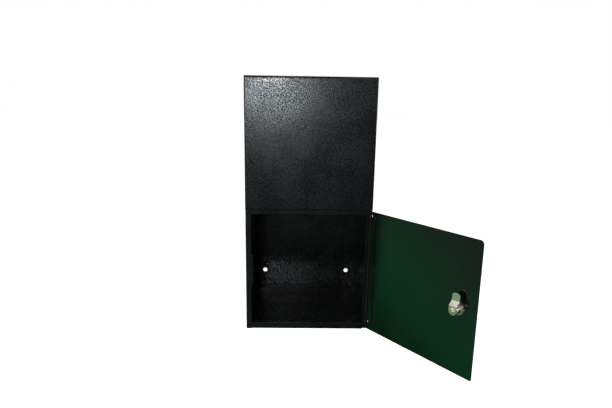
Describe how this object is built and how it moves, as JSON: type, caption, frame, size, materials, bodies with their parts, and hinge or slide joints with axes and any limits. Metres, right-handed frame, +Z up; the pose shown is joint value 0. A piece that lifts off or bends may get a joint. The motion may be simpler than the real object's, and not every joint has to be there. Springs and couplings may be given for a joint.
{
  "type": "wall mounted mailbox",
  "caption": "Tall folded-steel mailbox for a wall, with a lifting lid along the top, a plain upper front and a lower side-hung door with a cam lock.",
  "frame": {"origin": "centre of the four wall holes, on the back face that lies against the wall", "axes": "+Z up, the wall is the plane Y = 0 with the box in front of it at -Y, +X to the right seen from the front"},
  "size_m": [0.4018, 0.4387, 0.5063],
  "materials": {
    "cabinet_paint": "black powder coat, fine texture, semi-gloss",
    "door_paint": "black powder coat, smooth and glossy on the inside",
    "lid_paint": "black powder coat, fine texture, semi-gloss",
    "zinc_plate": "bright zinc plate",
    "pin_steel": "blackened steel wire",
    "lock_plate": "nickel plate, polished",
    "wafer_brass": "stamped brass"
  },
  "bodies": {
    "cabinet": {"back_panel": "cabinet_paint", "left_side": "cabinet_paint", "right_side": "cabinet_paint", "front_panel": "cabinet_paint", "header_rail": "cabinet_paint", "top_rail": "cabinet_paint", "floor_pan": "cabinet_paint", "latch_strike": "cabinet_paint", "upper_hinge_lug": "cabinet_paint", "lower_hinge_lug": "cabinet_paint", "upper_hinge_pin": "pin_steel", "lower_hinge_pin": "pin_steel", "hinge_washer": "pin_steel", "lid_pin_left": "zinc_plate", "lid_pin_right": "zinc_plate"},
    "door": {"door_panel": "door_paint", "lock_body": "lock_plate", "lock_nut_washer": "zinc_plate", "lock_nut": "zinc_plate"},
    "latch": {"lock_plug": "lock_plate", "lock_wafers": "wafer_brass", "stop_washer": "zinc_plate", "lock_cam": "zinc_plate", "cam_screw_washer": "zinc_plate", "cam_screw": "zinc_plate"},
    "lid": {"lid_panel": "lid_paint", "lid_stiffener": "lid_paint"}
  },
  "joints": [
    {"name": "door_hinge", "type": "hinge", "parent": "cabinet", "child": "door", "pos_m": [0.1215, -0.2465, -0.1229], "axis": [0, 0, 1], "range_deg": [-128, 47]},
    {"name": "lock_turn", "type": "hinge", "parent": "door", "child": "latch", "pos_m": [0.25267, -0.41114, -0.13], "axis": [0.788, 0.6157, 0], "range_deg": [0, 90]},
    {"name": "lid_hinge", "type": "hinge", "parent": "cabinet", "child": "lid", "pos_m": [0, -0.007, 0.2495], "axis": [-1, 0, 0], "range_deg": [0, 90]}
  ]
}
